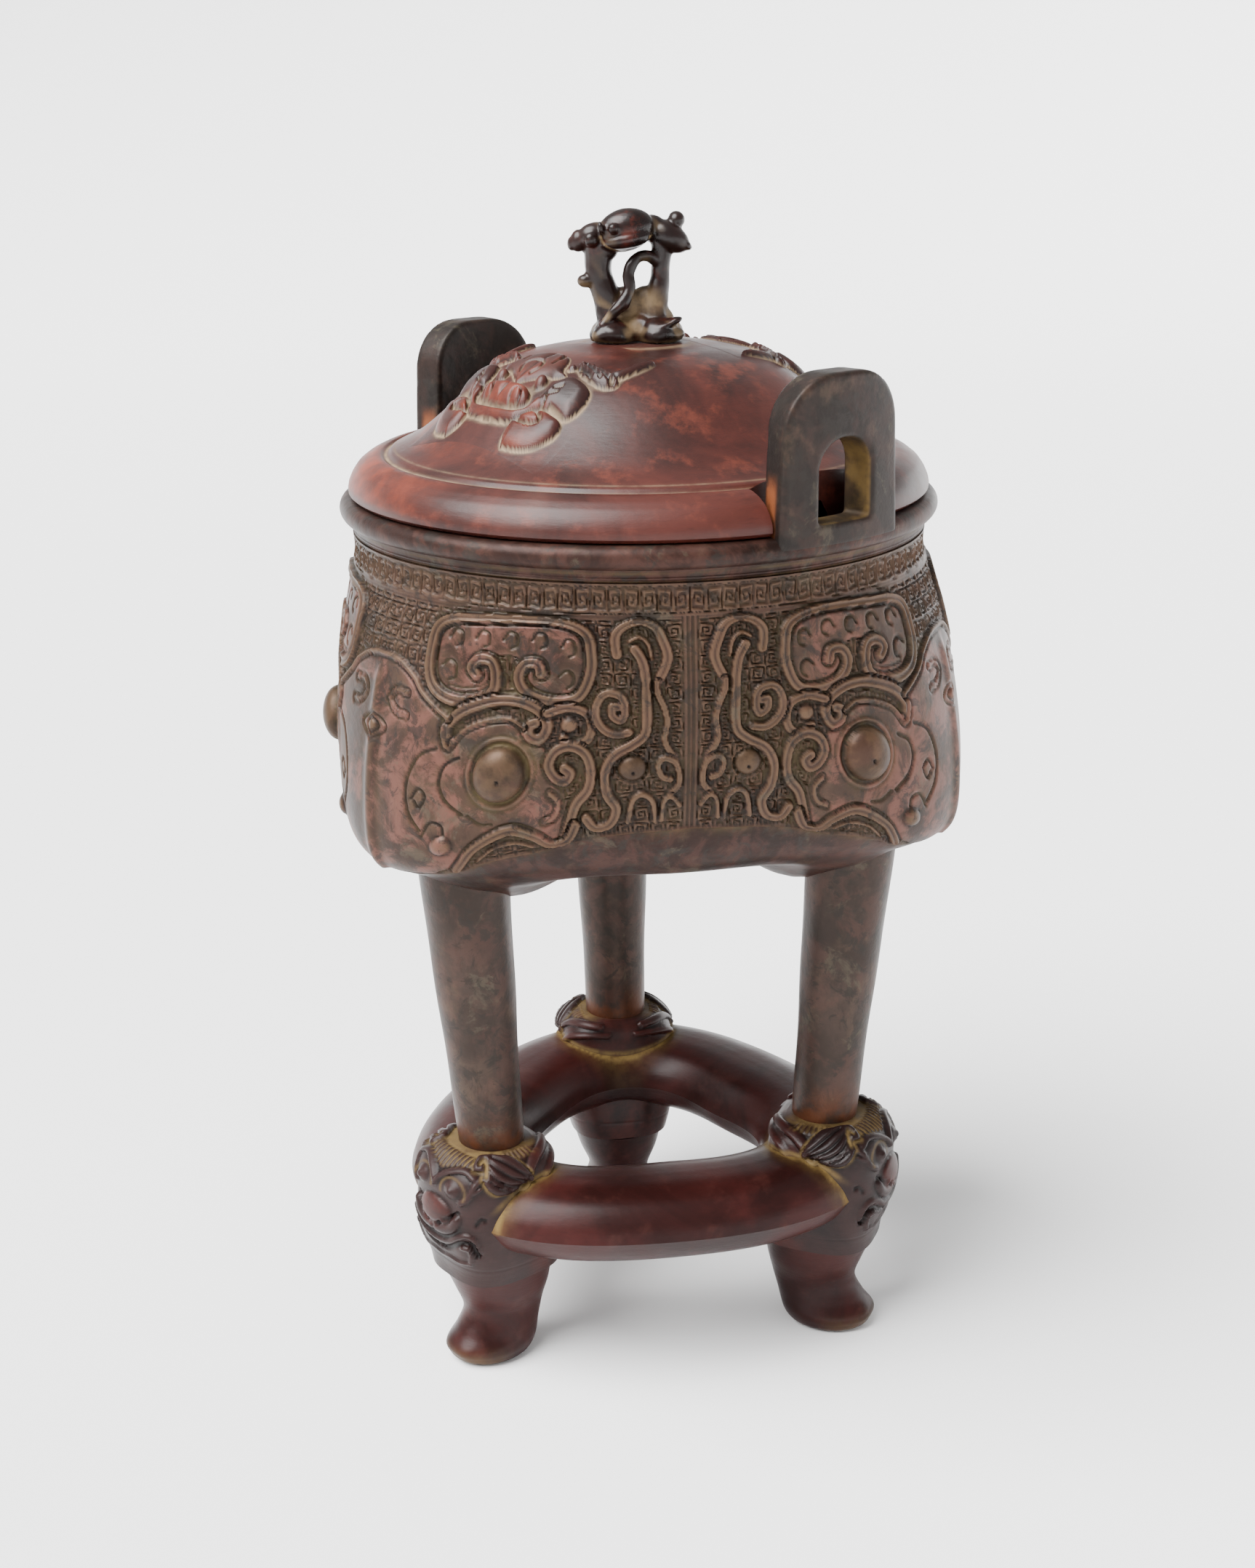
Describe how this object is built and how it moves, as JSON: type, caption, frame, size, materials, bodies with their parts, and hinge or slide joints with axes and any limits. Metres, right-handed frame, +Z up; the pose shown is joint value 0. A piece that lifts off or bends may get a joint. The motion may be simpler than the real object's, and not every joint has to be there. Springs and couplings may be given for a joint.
{
  "type": "tripod incense burner",
  "caption": "Lobed bronze tripod vessel with loop handles and a hollow bowl, lift-off carved wood cover with openwork finial, on a carved wood ring stand with beast heads and feet.",
  "frame": {"origin": "on the ground, under the middle of the whole bounding box; the vessel's axis stands 5 mm behind it, at y = +0.005", "axes": "+Z up along the vessel's axis, -Y towards one of the legs, +X and -X towards the two handles"},
  "size_m": [0.1644, 0.1597, 0.2946],
  "materials": {
    "bronze": "dark brown patina with dusty recesses",
    "cover_wood": "polished",
    "finial_wood": "waxed",
    "stand_wood": "waxed"
  },
  "bodies": {
    "root": {"bronze_vessel": "bronze", "wood_cover": "cover_wood", "cover_finial": "finial_wood", "stand_ring": "stand_wood", "stand_foot_front": "stand_wood", "stand_foot_right": "stand_wood", "stand_foot_left": "stand_wood"}
  },
  "joints": []
}
